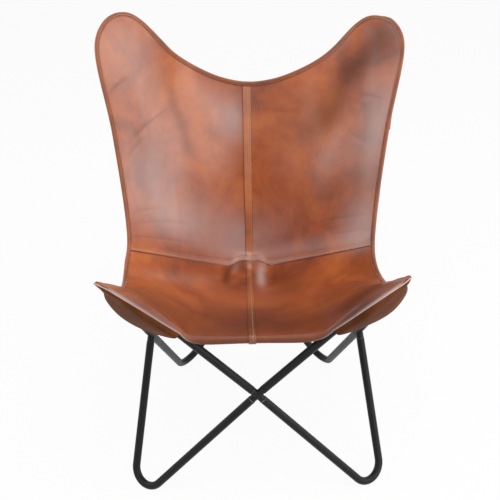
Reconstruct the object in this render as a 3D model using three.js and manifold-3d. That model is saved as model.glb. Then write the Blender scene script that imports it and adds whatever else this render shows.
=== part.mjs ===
// Butterfly sling chair: a knock-down frame of bent tubes plugged onto four crosses, with a sewn
// leather sling hung from the four horns by pockets. Millimetres, +Z up, the sitter faces -Y.
import * as THREE from 'three';
import Module from 'manifold-3d';

const wasm = await Module();
wasm.setup();

// Tube stock and bends
const TUBE_OD = 18;
const TUBE_WALL = 1.5;
const FOOT_BEND = 40;
const FRONT_BEND = 72;
const BACK_BEND = 53;

// Points of the right half where the straight runs of the frame meet. A foot has no height of its
// own: it is set so that its bend stands on the floor.
const FRONT_CROSS = { x: 0, y: -214, z: 297 };
const REAR_CROSS = { x: 0, y: 297, z: 233 };
const SIDE_CROSS = { x: 241, y: -14, z: 303 };
const FRONT_FOOT = { x: 299, y: -219 };
const REAR_FOOT = { x: 191, y: 230 };
const FRONT_HORN = { x: 346, y: -220, z: 687 };
const BACK_HORN = { x: 369, y: 498, z: 1043 };

// Crosses: how far a spigot goes into its tube, and the thicker collar that the tube stops against
const SPIGOT_LENGTH = 26;
const COLLAR_OD = 16.8;

// Clearances
const FIT_GAP = 0.3;
const SEAM_GAP = 0.6;
const STRIP_GAP = 1;
const SEWN_GAP = 0.4;
const ARM_GAP = 2.5;
const FOOT_FLAT = 0.9;

// Leather
const LEATHER = 2.6;
const STRIP_LEATHER = 1.6;
const STRIP_WIDTH = 20;
const HEM_WIDTH = 11;
const LAP_WIDTH = 15;
const ROLL_RADIUS = 12.2;
const TIP_REACH = 20;
const FRONT_EDGE_DROP = 22;
const FRONT_EDGE_LEAVES = 0.8;
const TOP_EDGE_DROP = 158;
const TOP_EDGE_FORWARD = 15;
const SEAT_KNEE = { y: -22, z: 18 };
const SIDE_KNEE = { x: 39, y: 49, z: 178 };
const KNEE_SOFT = { centre: 0.045, side: 0.1 };
const CROSS_BUMP = 7;
const FRONT_POCKET_SLACK = 12;
const FRONT_POCKET_GAP = 1.1;
const REAR_POCKET_GAP = 0.5;

const TUBE_R = TUBE_OD / 2;
const BORE_R = TUBE_R - TUBE_WALL;
const RING_SIDES = 12;
const SPIGOT_R = BORE_R * Math.cos(Math.PI / RING_SIDES) - FIT_GAP;
const BEND_STEPS = 10;
const TAU = Math.PI * 2;

const point = (p) => new THREE.Vector3(p.x, p.y, p.z);
const lerp = (a, b, t) => a.clone().lerp(b, t);
const mix = THREE.MathUtils.lerp;
const steps = (from, to, count) => Array.from({ length: count + 1 }, (_, i) => mix(from, to, i / count));

// One closed body from points and triangles, turned so that its faces look outward.
function solid(points, triangles) {
  const positions = new Float32Array(points.flatMap((p) => [p.x, p.y, p.z]));
  const volume = triangles.reduce((sum, [a, b, c]) => (
    sum + points[a].dot(new THREE.Vector3().crossVectors(points[b], points[c]))
  ), 0);
  const faces = volume < 0 ? triangles.map(([a, b, c]) => [a, c, b]) : triangles;
  const geometry = new THREE.BufferGeometry();
  geometry.setAttribute('position', new THREE.BufferAttribute(positions, 3));
  geometry.setIndex(faces.flat());
  return geometry;
}

function mirrored(geometry) {
  const at = geometry.getAttribute('position');
  const points = steps(0, at.count - 1, at.count - 1).map((i) => {
    const p = new THREE.Vector3().fromBufferAttribute(at, Math.round(i));
    return p.setX(-p.x);
  });
  const index = Array.from(geometry.index.array);
  const triangles = steps(0, index.length / 3 - 1, index.length / 3 - 1).map((i) => {
    const k = Math.round(i) * 3;
    return [index[k], index[k + 1], index[k + 2]];
  });
  return solid(points, triangles);
}

function toManifold(geometry) {
  return new wasm.Manifold(new wasm.Mesh({
    numProp: 3,
    vertProperties: geometry.getAttribute('position').array,
    triVerts: new Uint32Array(geometry.index.array),
  }));
}

function fromManifold(body) {
  const mesh = body.getMesh();
  const geometry = new THREE.BufferGeometry();
  geometry.setAttribute('position', new THREE.BufferAttribute(new Float32Array(mesh.vertProperties), 3));
  geometry.setIndex(Array.from(mesh.triVerts));
  return geometry;
}

// A bent tube's centre line: a straight run, a bend of the given radius and a straight run back.
// Along it, s goes 0 to 1 on the first run, 1 to 2 round the bend and 2 to 3 on the second run.
function bentLine(from, apex, to, radius) {
  const a = from.clone().sub(apex).normalize();
  const b = to.clone().sub(apex).normalize();
  const half = a.angleTo(b) / 2;
  const reach = radius / Math.tan(half);
  const centre = a.clone().add(b).setLength(radius / Math.sin(half)).add(apex);
  const bendStart = a.clone().multiplyScalar(reach).add(apex);
  const bendEnd = b.clone().multiplyScalar(reach).add(apex);
  const normal = new THREE.Vector3().crossVectors(a, b).normalize();
  if (normal.z < 0) normal.negate();
  const outA = bendStart.clone().sub(centre).normalize();
  const outB = bendEnd.clone().sub(centre).normalize();
  const turn = outA.angleTo(outB);
  const outAt = (t) => outA.clone().multiplyScalar(Math.sin((1 - t) * turn))
    .addScaledVector(outB, Math.sin(t * turn)).normalize();
  const at = (s) => {
    if (s <= 1) return { p: lerp(from, bendStart, s), out: outA.clone(), along: a.clone().negate() };
    if (s >= 2) return { p: lerp(bendEnd, to, s - 2), out: outB.clone(), along: b.clone() };
    const out = outAt(s - 1);
    const along = outB.clone().sub(outA);
    along.addScaledVector(out, -along.dot(out)).normalize();
    return { p: out.clone().multiplyScalar(radius).add(centre), out, along };
  };
  return { at, normal, from, to, bendStart, bendEnd };
}

// A point beside the centre line: r from it, at an angle that turns from outward to the sitter's side.
function beside(line, s, r, degrees) {
  const { p, out } = line.at(s);
  const angle = THREE.MathUtils.degToRad(degrees);
  return p.addScaledVector(out, r * Math.cos(angle)).addScaledVector(line.normal, r * Math.sin(angle));
}

// A foot's corner, raised or lowered until the bend's underside is on the floor.
function footCorner(foot, crossA, crossB) {
  let z = 0;
  for (let i = 0; i < 40; i += 1) {
    const line = bentLine(crossA, point({ ...foot, z }), crossB, FOOT_BEND);
    const lowest = Math.min(...steps(1, 2, 60).map((s) => line.at(s).p.z));
    z += TUBE_R - FOOT_FLAT - lowest;
  }
  return point({ ...foot, z });
}

const frontCross = point(FRONT_CROSS);
const rearCross = point(REAR_CROSS);
const sideCross = point(SIDE_CROSS);
const frontFoot = footCorner(FRONT_FOOT, frontCross, sideCross);
const rearFoot = footCorner(REAR_FOOT, rearCross, sideCross);
const frontHorn = bentLine(frontCross, point(FRONT_HORN), sideCross, FRONT_BEND);
const backHorn = bentLine(rearCross, point(BACK_HORN), sideCross, BACK_BEND);
const flipX = (p) => new THREE.Vector3(-p.x, p.y, p.z);

// Directions of the four arms that meet at a cross, and where tubes can start without touching.
function crossArms(centre, ends) {
  const arms = ends.map((end) => end.clone().sub(centre).normalize());
  const angles = arms.flatMap((a, i) => arms.slice(i + 1).map((b) => a.angleTo(b)));
  const tightest = Math.min(...angles);
  const start = (TUBE_R + ARM_GAP / 2) / Math.tan(tightest / 2);
  return { centre, arms, start: Math.max(start, TUBE_R + COLLAR_OD / 2) };
}

const frontArms = crossArms(frontCross, [
  frontFoot, flipX(frontFoot), point(FRONT_HORN), flipX(point(FRONT_HORN))]);
const rearArms = crossArms(rearCross, [
  rearFoot, flipX(rearFoot), point(BACK_HORN), flipX(point(BACK_HORN))]);
const sideArms = crossArms(sideCross, [
  frontFoot, rearFoot, point(FRONT_HORN), point(BACK_HORN)]);

// Tubes: an open bore along a bent line, with square-cut ends clear of both crosses
function bentTube(line, startA, startB) {
  const lengthA = line.from.distanceTo(line.bendStart);
  const lengthB = line.to.distanceTo(line.bendEnd);
  const stations = [startA / lengthA, ...steps(1, 2, BEND_STEPS), 3 - startB / lengthB];
  const points = [];
  for (const radius of [TUBE_R, BORE_R]) {
    for (const s of stations) {
      const { p, out } = line.at(s);
      for (let j = 0; j < RING_SIDES; j += 1) {
        const angle = TAU * j / RING_SIDES;
        points.push(p.clone().addScaledVector(out, radius * Math.cos(angle))
          .addScaledVector(line.normal, radius * Math.sin(angle)));
      }
    }
  }
  const rings = stations.length;
  const id = (skin, i, j) => (skin * rings + i) * RING_SIDES + (j % RING_SIDES);
  const triangles = [];
  const quad = (a, b, c, d) => triangles.push([a, b, c], [a, c, d]);
  for (let j = 0; j < RING_SIDES; j += 1) {
    for (let i = 0; i < rings - 1; i += 1) {
      quad(id(0, i, j), id(0, i + 1, j), id(0, i + 1, j + 1), id(0, i, j + 1));
      quad(id(1, i, j), id(1, i, j + 1), id(1, i + 1, j + 1), id(1, i + 1, j));
    }
    quad(id(0, 0, j), id(0, 0, j + 1), id(1, 0, j + 1), id(1, 0, j));
    quad(id(0, rings - 1, j), id(1, rings - 1, j), id(1, rings - 1, j + 1), id(0, rings - 1, j + 1));
  }
  return solid(points, triangles);
}

// A foot is worn flat where it stands on the floor.
function legTube(line, startA, startB) {
  const box = solid(
    [0, 1].flatMap((k) => [[-1, -1], [1, -1], [1, 1], [-1, 1]].map(([x, y]) => (
      new THREE.Vector3(x * 1000, y * 1000, k ? 0 : -20)))),
    [[0, 2, 1], [0, 3, 2], [4, 5, 6], [4, 6, 7], [0, 1, 5], [0, 5, 4],
      [1, 2, 6], [1, 6, 5], [2, 3, 7], [2, 7, 6], [3, 0, 4], [3, 4, 7]],
  );
  return fromManifold(toManifold(bentTube(line, startA, startB)).subtract(toManifold(box)));
}

// Crosses: four collars that run on as spigots, joined at a ball
function rod(from, direction, length, radius) {
  const across = Math.abs(direction.z) < 0.8 ? new THREE.Vector3(0, 0, 1) : new THREE.Vector3(1, 0, 0);
  const side = new THREE.Vector3().crossVectors(direction, across).normalize();
  const up = new THREE.Vector3().crossVectors(side, direction);
  const points = [0, length].flatMap((d) => steps(0, 1, RING_SIDES).slice(0, -1).map((t) => (
    from.clone().addScaledVector(direction, d)
      .addScaledVector(side, radius * Math.cos(TAU * t))
      .addScaledVector(up, radius * Math.sin(TAU * t)))));
  const n = RING_SIDES;
  const triangles = [];
  for (let j = 0; j < n; j += 1) {
    const k = (j + 1) % n;
    triangles.push([j, k, n + k], [j, n + k, n + j]);
    if (j > 0 && k > 0) triangles.push([0, k, j], [n, n + j, n + k]);
  }
  return solid(points, triangles);
}

function ball(centre, radius) {
  const rings = 6;
  const points = [centre.clone().setZ(centre.z - radius), centre.clone().setZ(centre.z + radius)];
  for (let i = 1; i < rings; i += 1) {
    const polar = Math.PI * i / rings - Math.PI / 2;
    for (let j = 0; j < RING_SIDES; j += 1) {
      const angle = TAU * j / RING_SIDES;
      points.push(new THREE.Vector3(
        centre.x + radius * Math.cos(polar) * Math.cos(angle),
        centre.y + radius * Math.cos(polar) * Math.sin(angle),
        centre.z + radius * Math.sin(polar),
      ));
    }
  }
  const id = (i, j) => 2 + (i - 1) * RING_SIDES + (j % RING_SIDES);
  const triangles = [];
  for (let j = 0; j < RING_SIDES; j += 1) {
    triangles.push([0, id(1, j + 1), id(1, j)], [1, id(rings - 1, j), id(rings - 1, j + 1)]);
    for (let i = 1; i < rings - 1; i += 1) {
      triangles.push([id(i, j), id(i, j + 1), id(i + 1, j + 1)], [id(i, j), id(i + 1, j + 1), id(i + 1, j)]);
    }
  }
  return solid(points, triangles);
}

function crossPiece({ centre, arms, start }) {
  let body = toManifold(ball(centre, COLLAR_OD / 2));
  for (const arm of arms) {
    body = body.add(toManifold(rod(centre, arm, start - FIT_GAP, COLLAR_OD / 2)));
    body = body.add(toManifold(rod(centre, arm, start + SPIGOT_LENGTH, SPIGOT_R)));
  }
  return fromManifold(body);
}

// Leather sheets: a grid over a surface, thickened along the surface's own normal between two heights.
// Cells left of the middle are split the other way, so that both halves are true mirror images.
function sheet(surface, us, vs, low, high) {
  const eps = 1e-3;
  const normalAt = (u, v) => {
    const uc = THREE.MathUtils.clamp(u, us[0] + eps, us[us.length - 1] - eps);
    const vc = THREE.MathUtils.clamp(v, vs[0] + eps, vs[vs.length - 1] - eps);
    const du = surface(uc + eps, vc).sub(surface(uc - eps, vc));
    const dv = surface(uc, vc + eps).sub(surface(uc, vc - eps));
    return du.cross(dv).normalize();
  };
  const points = [low, high].flatMap((h) => us.flatMap((u) => vs.map((v) => (
    surface(u, v).addScaledVector(normalAt(u, v), h)))));
  const nu = us.length;
  const nv = vs.length;
  const id = (skin, i, j) => (skin * nu + i) * nv + j;
  const triangles = [];
  const quad = (a, b, c, d) => triangles.push([a, b, c], [a, c, d]);
  for (let i = 0; i < nu - 1; i += 1) {
    const left = us[i] + us[i + 1] < -1e-6;
    for (let j = 0; j < nv - 1; j += 1) {
      const top = [id(1, i, j), id(1, i + 1, j), id(1, i + 1, j + 1), id(1, i, j + 1)];
      const under = [id(0, i, j), id(0, i, j + 1), id(0, i + 1, j + 1), id(0, i + 1, j)];
      if (left) {
        top.push(top.shift());
        under.push(under.shift());
      }
      quad(...top);
      quad(...under);
    }
    quad(id(0, i, 0), id(0, i + 1, 0), id(1, i + 1, 0), id(1, i, 0));
    quad(id(0, i, nv - 1), id(1, i, nv - 1), id(1, i + 1, nv - 1), id(0, i + 1, nv - 1));
  }
  for (let j = 0; j < nv - 1; j += 1) {
    quad(id(0, 0, j), id(1, 0, j), id(1, 0, j + 1), id(0, 0, j + 1));
    quad(id(0, nu - 1, j), id(0, nu - 1, j + 1), id(1, nu - 1, j + 1), id(1, nu - 1, j));
  }
  return solid(points, triangles);
}

// Front edge: the line that the leather is rolled over. It follows the front horn from the middle of
// its bend down the inner run, then leaves the tube and hangs across to the other side.
const FRONT_TIP = 1.7;
const edgeLeave = frontHorn.at(FRONT_EDGE_LEAVES);
const FORWARD = new THREE.Vector3(0, -1, 0);
const UP = new THREE.Vector3(0, 0, 1);
function hangingEdge(t) {
  const span = edgeLeave.p.x;
  const rise = edgeLeave.along.z / edgeLeave.along.x * span / FRONT_EDGE_DROP;
  const p = edgeLeave.p.clone().setX(span * t);
  p.z -= FRONT_EDGE_DROP * (1 - t ** rise);
  return {
    p,
    out: lerp(FORWARD, edgeLeave.out, t * t).normalize(),
    up: lerp(UP, frontHorn.normal, t * t).normalize(),
  };
}
const edgeSamples = [
  ...steps(0, 0.98, 24).map(hangingEdge),
  ...steps(FRONT_EDGE_LEAVES, FRONT_TIP, 40).map((s) => ({ ...frontHorn.at(s), up: frontHorn.normal })),
];

// Lengths along a row of points, and the place on it at a share of the whole length
function runningLength(points) {
  const lengths = [0];
  for (let i = 1; i < points.length; i += 1) {
    lengths.push(lengths[i - 1] + points[i].distanceTo(points[i - 1]));
  }
  return lengths;
}
const edgeLengths = runningLength(edgeSamples.map((e) => e.p));
const edgeLength = edgeLengths[edgeLengths.length - 1];
const leaveAt = edgeLengths[25] / edgeLength;
function edgeAt(u, r, degrees) {
  const want = Math.min(u, 1) * edgeLength;
  const i = Math.max(edgeLengths.findIndex((d) => d >= want), 1);
  const t = (want - edgeLengths[i - 1]) / (edgeLengths[i] - edgeLengths[i - 1]);
  const [a, b] = [edgeSamples[i - 1], edgeSamples[i]];
  const angle = THREE.MathUtils.degToRad(degrees);
  return lerp(a.p, b.p, t)
    .addScaledVector(lerp(a.out, b.out, t), r * Math.cos(angle))
    .addScaledVector(lerp(a.up, b.up, t), r * Math.sin(angle));
}

// The roll's upper border, where it meets the seat, and its lower border. Both start close round the
// tube. Toward the tip they draw together and reach past the bend to a pointed corner.
const tipShare = (u) => Math.max((Math.min(u, 1) - leaveAt) / (1 - leaveAt), 0);
const ridge = (u) => ({
  r: ROLL_RADIUS + 0.8 * TIP_REACH * tipShare(u) ** 4,
  degrees: mix(112, 82, Math.min(u, 1) ** 1.5) - 76 * tipShare(u) ** 3,
});
const brim = (u) => ({
  r: ROLL_RADIUS + TIP_REACH * tipShare(u) ** 2,
  degrees: -12 - 32 * Math.sin(Math.PI * tipShare(u)),
});
const frontLine = (u) => edgeAt(u, ridge(u).r, ridge(u).degrees);

// Top edge: dips between the horns, then goes over the middle of each bend.
const backTip = beside(backHorn, 1.5, 18, 38);
const topCentre = new THREE.Vector3(0, backTip.y - TOP_EDGE_FORWARD, backTip.z - TOP_EDGE_DROP);
const topDip = (f) => new THREE.Vector3(
  backTip.x * f,
  mix(topCentre.y, backTip.y, f * f),
  topCentre.z + TOP_EDGE_DROP * 1.22 * f ** 1.85,
);
const topHalf = [
  ...[0.2, 0.4, 0.58].map(topDip),
  beside(backHorn, 1.12, 18, 48),
  beside(backHorn, 1.3, 18, 42),
  backTip,
];
const topCurve = new THREE.CatmullRomCurve3([
  ...topHalf.slice().reverse().map(flipX), topCentre, ...topHalf]);
topCurve.arcLengthDivisions = 400;
const topLine = (u) => topCurve.getPointAt((Math.min(u, 1) + 1) / 2);

// Knee: where the seat turns up into the back, from just above the rear cross out to the side edges.
const kneeCentre = rearCross.clone().add(new THREE.Vector3(0, SEAT_KNEE.y, SEAT_KNEE.z));
const kneeSide = sideCross.clone().add(point(SIDE_KNEE));
const KNEE_ROUND = 0.1;
const kneeRise = (u) => (Math.hypot(u, KNEE_ROUND) - KNEE_ROUND) / (Math.hypot(1, KNEE_ROUND) - KNEE_ROUND);
const kneeLine = (u) => new THREE.Vector3(
  kneeSide.x * u,
  mix(kneeCentre.y, kneeSide.y, kneeRise(u)),
  mix(kneeCentre.z, kneeSide.z, kneeRise(u)),
);

// A fore-and-aft section: two nearly straight runs, front line to knee to top line, with a hyperbola
// for the turn between them. The soft is the share of the length that the turn takes.
function ramp(t, soft) {
  const low = Math.hypot(0.5, soft) - 0.5;
  return (Math.hypot(t - 0.5, soft) + t - 0.5 - low) / (Math.hypot(0.5, soft) + 0.5 - low);
}
function section(u, v) {
  const a = frontLine(u);
  const b = topLine(u);
  const soft = mix(KNEE_SOFT.centre, KNEE_SOFT.side, u * u);
  const share = ramp(0.5, soft);
  const corner = kneeLine(u).addScaledVector(a, -share).addScaledVector(b, -share).divideScalar(1 - 2 * share);
  return corner.clone()
    .addScaledVector(a.sub(corner), ramp(1 - v, soft))
    .addScaledVector(b.sub(corner), ramp(v, soft));
}

// Side edge: from the front tip down to the knee, then up beside the back horn's outer run.
const sideCurve = new THREE.CatmullRomCurve3([
  frontLine(1),
  beside(frontHorn, 1.82, 20, 4),
  beside(frontHorn, 1.93, 17, 34),
  beside(frontHorn, 2.05, 17, 65),
  lerp(beside(frontHorn, 2.05, 17, 65), kneeSide, 0.45),
  kneeSide,
  beside(backHorn, 2.6, 33, 24),
  beside(backHorn, 2.3, 30, 26),
  beside(backHorn, 2.0, 25, 31),
  beside(backHorn, 1.75, 19, 36),
  backTip,
]);
sideCurve.arcLengthDivisions = 400;
const RIM_STEPS = 200;
const rimLengths = runningLength(steps(0, 1, RIM_STEPS).map((v) => section(1, v)));
function sideLine(v) {
  const k = THREE.MathUtils.clamp(v, 0, 1) * RIM_STEPS;
  const i = Math.min(Math.floor(k), RIM_STEPS - 1);
  return sideCurve.getPointAt(mix(rimLengths[i], rimLengths[i + 1], k - i) / rimLengths[RIM_STEPS]);
}

// The whole sling: sections across the seat and back, drawn to the side edge, pressed up by the cross.
function sling(u, v) {
  const a = Math.min(Math.abs(u), 1);
  const p = section(a, v);
  p.addScaledVector(sideLine(v).sub(section(1, v)), a ** 5);
  const bump = CROSS_BUMP * Math.exp(-((p.x / 32) ** 2) - (((v - 0.49) / 0.05) ** 2));
  p.y -= bump * 0.7;
  p.z += bump * 0.7;
  if (u < 0) p.x = -p.x;
  return p;
}

// Parameter steps that make a given length on the leather
const widthStep = (u, v, mm) => mm / sling(u, v).distanceTo(sling(u - 0.01, v)) * 0.01;
const lengthStep = (u, v, mm) => mm / sling(u, v).distanceTo(sling(u, v - 0.005)) * 0.005;

// Grid lines that the panels share with the strips and hems sewn on them
const SEAM = 0.527;
const seamStep = lengthStep(0.5, 0.7, SEAM_GAP / 2);
const centreStep = widthStep(0.5, 0.6, SEAM_GAP / 2);
const hemStep = widthStep(1, 0.75, HEM_WIDTH);
const topHemStep = lengthStep(0.4, 1, HEM_WIDTH);
const lapStep = lengthStep(0.5, 0.6, LAP_WIDTH);
const stripStep = widthStep(0.5, 0.75, STRIP_WIDTH / 2);
const columns = [centreStep, stripStep, ...steps(stripStep + 0.06, 0.78, 7), 0.85, 0.9, 1 - hemStep, 1];
const seatRows = [...steps(0, 0.06, 3), ...steps(0.1, 0.38, 6), ...steps(0.42, SEAM - seamStep, 5)];
const backRows = [SEAM + seamStep, SEAM + lapStep, ...steps(0.57, 0.63, 2), ...steps(0.68, 0.9, 6),
  0.93, 0.965, 1 - topHemStep, 1];
const bothSides = (us) => [...us.slice().reverse().map((u) => -u), ...us];
const FACE = LEATHER / 2 + SEWN_GAP;
const STRIP_FACE = FACE + STRIP_LEATHER;

const seatPanel = sheet(sling, columns, seatRows, -LEATHER / 2, LEATHER / 2);
const backPanel = sheet(sling, columns, backRows, -LEATHER / 2, LEATHER / 2);

// Strips and hems lie on the sitter's face. Where two meet, one stops short of the other.
const inner = columns.slice(0, -1);
const trimmed = (us, mm) => [...us.slice(0, -1), us[us.length - 1] - widthStep(1, 0.75, mm)];
const lapStrip = sheet(sling, bothSides(trimmed(inner, STRIP_GAP)), backRows.slice(0, 2), FACE, STRIP_FACE);
const topHem = sheet(sling, bothSides(trimmed(inner, STRIP_GAP)), backRows.slice(-2), FACE, STRIP_FACE);
const stripColumns = bothSides(columns.slice(0, 2));
const seatStrip = sheet(sling, stripColumns, seatRows.slice(1), FACE, STRIP_FACE);
const stripEnd = lengthStep(0.5, 0.7, STRIP_GAP);
const backStripRows = [backRows[1] + stripEnd, ...backRows.slice(2, -2), 1 - topHemStep - stripEnd];
const backStrip = sheet(sling, stripColumns, backStripRows, FACE, STRIP_FACE);
const sideHem = sheet(sling, columns.slice(-2), [...seatRows.slice(1), ...backRows], FACE, STRIP_FACE);

// Front edge roll: the leather turned down over the edge line, from the seat to in front of the tube
function rollHalf(u, t) {
  const a = ridge(u);
  const b = brim(u);
  return edgeAt(u, mix(a.r, b.r, t * t), mix(a.degrees - 6, b.degrees, t));
}
const frontRoll = sheet((u, t) => {
  const p = rollHalf(Math.abs(u), t);
  return u < 0 ? flipX(p) : p;
}, bothSides([...columns.slice(0, 8), ...steps(columns[8], 1, 9)]), steps(0, 1, 4), -LEATHER / 2, LEATHER / 2);

// Pockets: a piece under each tip, sewn to the two edges of the leather and open toward the middle.
// Its sections run from one edge, past the far side of both tubes of the horn, to the other edge.
function pocket(stops) {
  return (t, w) => new THREE.CatmullRomCurve3(stops(t)).getPoint(w);
}
function underside(u, v, gap) {
  const e = 0.004;
  const uc = Math.min(u, 1 - e);
  const vc = THREE.MathUtils.clamp(v, e, 1 - e);
  const du = sling(uc + e, vc).sub(sling(uc - e, vc));
  const dv = sling(uc, vc + e).sub(sling(uc, vc - e));
  return sling(u, v).addScaledVector(du.cross(dv).normalize(), -LEATHER - gap);
}
const frontPocket = sheet(pocket((t) => {
  const u = mix(1, leaveAt, t);
  const close = Math.sqrt(t);
  const slack = FRONT_POCKET_SLACK * Math.sin(Math.PI * t);
  return [
    edgeAt(u, brim(u).r, brim(u).degrees - 8),
    edgeAt(u, mix(27, 13.8, close), mix(-38, -95, close)),
    beside(frontHorn, mix(1.74, 2.8, t), mix(25, 13.8, close), mix(-40, -95, close)),
    beside(frontHorn, mix(1.75, 2.82, t), mix(24, 14, close) + slack, mix(-34, -40, t)),
    beside(frontHorn, mix(1.76, 2.82, t), mix(22, 14, close) + slack / 2, mix(-20, 25, t)),
    underside(1, mix(0.01, 0.42, t), FRONT_POCKET_GAP),
  ];
}), steps(0.04, 1, 11), steps(0, 1, 14), -LEATHER / 2, LEATHER / 2);
const rearPocket = sheet(pocket((t) => [
  underside(mix(0.99, 0.62, t), 1, REAR_POCKET_GAP),
  beside(backHorn, mix(1.47, 0.74, t), 13.4, -20),
  beside(backHorn, mix(1.47, 0.74, t), 13.4, -90),
  beside(backHorn, mix(1.53, 2.3, t), 13.4, -90),
  beside(backHorn, mix(1.53, 2.3, t), 13.6, -25),
  underside(1, mix(0.99, 0.78, t), REAR_POCKET_GAP),
]), steps(0.03, 1, 11), steps(0, 1, 14), -LEATHER / 2, LEATHER / 2);

// The assembly
const leather = new THREE.MeshStandardMaterial({ color: 0x8a4a26, roughness: 0.42, metalness: 0 });
const blackPaint = new THREE.MeshStandardMaterial({ color: 0x17181a, roughness: 0.5, metalness: 0.1 });
const chair = new THREE.Group();
function add(name, geometry, material) {
  const mesh = new THREE.Mesh(geometry, material);
  mesh.name = name;
  chair.add(mesh);
}
function addPair(front, back, geometry, material) {
  add(`${front}left${back}`, mirrored(geometry), material);
  add(`${front}right${back}`, geometry, material);
}

add('front_cross', crossPiece(frontArms), blackPaint);
add('rear_cross', crossPiece(rearArms), blackPaint);
addPair('', '_cross', crossPiece(sideArms), blackPaint);
addPair('front_', '_leg', legTube(
  bentLine(frontCross, frontFoot, sideCross, FOOT_BEND), frontArms.start, sideArms.start), blackPaint);
addPair('rear_', '_leg', legTube(
  bentLine(rearCross, rearFoot, sideCross, FOOT_BEND), rearArms.start, sideArms.start), blackPaint);
addPair('front_', '_horn', bentTube(frontHorn, frontArms.start, sideArms.start), blackPaint);
addPair('rear_', '_horn', bentTube(backHorn, rearArms.start, sideArms.start), blackPaint);
addPair('', '_seat_panel', seatPanel, leather);
addPair('', '_back_panel', backPanel, leather);
add('seat_centre_strip', seatStrip, leather);
add('back_centre_strip', backStrip, leather);
add('cross_seam_strip', lapStrip, leather);
add('top_edge_hem', topHem, leather);
addPair('', '_edge_hem', sideHem, leather);
add('front_edge_roll', frontRoll, leather);
addPair('front_', '_pocket', frontPocket, leather);
addPair('rear_', '_pocket', rearPocket, leather);

// Origin under the middle of the whole chair
const bounds = new THREE.Box3().setFromObject(chair);
const middle = bounds.getCenter(new THREE.Vector3());
chair.children.forEach((mesh) => mesh.geometry.translate(0, -middle.y, 0));

export default chair;
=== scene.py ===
import math

import bmesh
import bpy
import numpy as np
from mathutils import Matrix, Vector, noise
from mathutils.bvhtree import BVHTree


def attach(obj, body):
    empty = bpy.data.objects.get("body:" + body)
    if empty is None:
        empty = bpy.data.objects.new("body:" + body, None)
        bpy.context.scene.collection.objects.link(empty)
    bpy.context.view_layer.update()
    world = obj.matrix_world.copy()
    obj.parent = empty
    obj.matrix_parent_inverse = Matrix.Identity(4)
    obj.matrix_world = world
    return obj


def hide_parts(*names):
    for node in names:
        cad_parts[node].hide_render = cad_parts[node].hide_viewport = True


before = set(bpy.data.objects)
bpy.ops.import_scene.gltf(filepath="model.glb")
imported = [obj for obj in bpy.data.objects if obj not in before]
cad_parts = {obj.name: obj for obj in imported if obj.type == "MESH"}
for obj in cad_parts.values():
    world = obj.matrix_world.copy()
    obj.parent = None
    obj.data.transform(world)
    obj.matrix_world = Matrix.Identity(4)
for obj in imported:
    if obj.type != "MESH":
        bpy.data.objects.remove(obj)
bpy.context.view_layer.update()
scene = bpy.context.scene
scene.view_settings.view_transform = "Standard"

# The camera stands in front of the chair, higher than its back, and looks down into the seat.
# Its place, turn and lens are those of the view that the chair is shown in.
eye = Vector((-0.0242, -1.8692, 1.7912))
aim = Vector((0.0, -0.1144, 0.5513))
camera_data = bpy.data.cameras.new("camera")
camera_data.sensor_width = 36
camera_data.lens = 70.72
camera_data.shift_x = -0.0084
camera_data.shift_y = -0.0177
camera_data.clip_end = 400
camera = bpy.data.objects.new("camera", camera_data)
toward_chair = (aim - eye).to_track_quat("-Z", "Y").to_matrix().to_4x4()
held_askew = Matrix.Rotation(math.radians(-0.67), 4, "Z")
camera.matrix_world = Matrix.Translation(eye) @ toward_chair @ held_askew
scene.collection.objects.link(camera)
scene.camera = camera

# The studio is a plain pale floor that runs out of sight, under soft boxes and a dim even room light.
# Floor and room are white to the camera and in reflections, and the floor keeps a faint shadow of the chair.
# The front box isn't mirrored, because it would draw hard white streaks on the leather.
def new_material(name):
    material = bpy.data.materials.new(name)
    material.use_nodes = True
    material.node_tree.nodes.clear()
    return material, material.node_tree


def put(tree, kind, at=None, **settings):
    node = tree.nodes.new(kind)
    for key, value in settings.items():
        setattr(node, key, value)
    for socket, value in (at or {}).items():
        target = node.inputs[socket]
        if isinstance(value, bpy.types.NodeSocket):
            tree.links.new(value, target)
        else:
            target.default_value = value
    return node


def mesh_piece(name, bm, *materials, smooth=True):
    mesh = bpy.data.meshes.new(name)
    for face in bm.faces:
        face.smooth = smooth
    bm.to_mesh(mesh)
    bm.free()
    for material in materials:
        mesh.materials.append(material)
    piece = bpy.data.objects.new(name, mesh)
    scene.collection.objects.link(piece)
    return piece


def where_looked_at(tree):
    """1 for rays from the camera, from a shiny surface or through glass, and 0 for other light."""
    ray = put(tree, "ShaderNodeLightPath")
    direct = put(tree, "ShaderNodeMath", {
        0: ray.outputs["Is Camera Ray"], 1: ray.outputs["Is Transmission Ray"]}, operation="MAXIMUM")
    looked_at = put(tree, "ShaderNodeMath", {
        0: direct.outputs[0], 1: ray.outputs["Is Glossy Ray"]}, operation="MAXIMUM")
    return looked_at.outputs[0]


floor_white = 0.94
pale_floor, tree = new_material("pale_floor")
share_white = put(tree, "ShaderNodeMath", {0: where_looked_at(tree), 1: floor_white}, operation="MULTIPLY")
painted = put(tree, "ShaderNodeBsdfDiffuse", {"Color": (0.9, 0.9, 0.9, 1)})
white = put(tree, "ShaderNodeEmission", {"Color": (1, 1, 1, 1), "Strength": 1.0})
floor_look = put(tree, "ShaderNodeMixShader", {
    0: share_white.outputs[0], 1: painted.outputs[0], 2: white.outputs[0]})
from_below = put(tree, "ShaderNodeNewGeometry")
open_below = put(tree, "ShaderNodeBsdfTransparent")
one_sided = put(tree, "ShaderNodeMixShader", {
    0: from_below.outputs["Backfacing"], 1: floor_look.outputs[0], 2: open_below.outputs[0]})
put(tree, "ShaderNodeOutputMaterial", {"Surface": one_sided.outputs[0]})
bm = bmesh.new()
bmesh.ops.create_grid(bm, x_segments=2, y_segments=2, size=90)
floor = mesh_piece("floor", bm, pale_floor, smooth=False)

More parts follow.
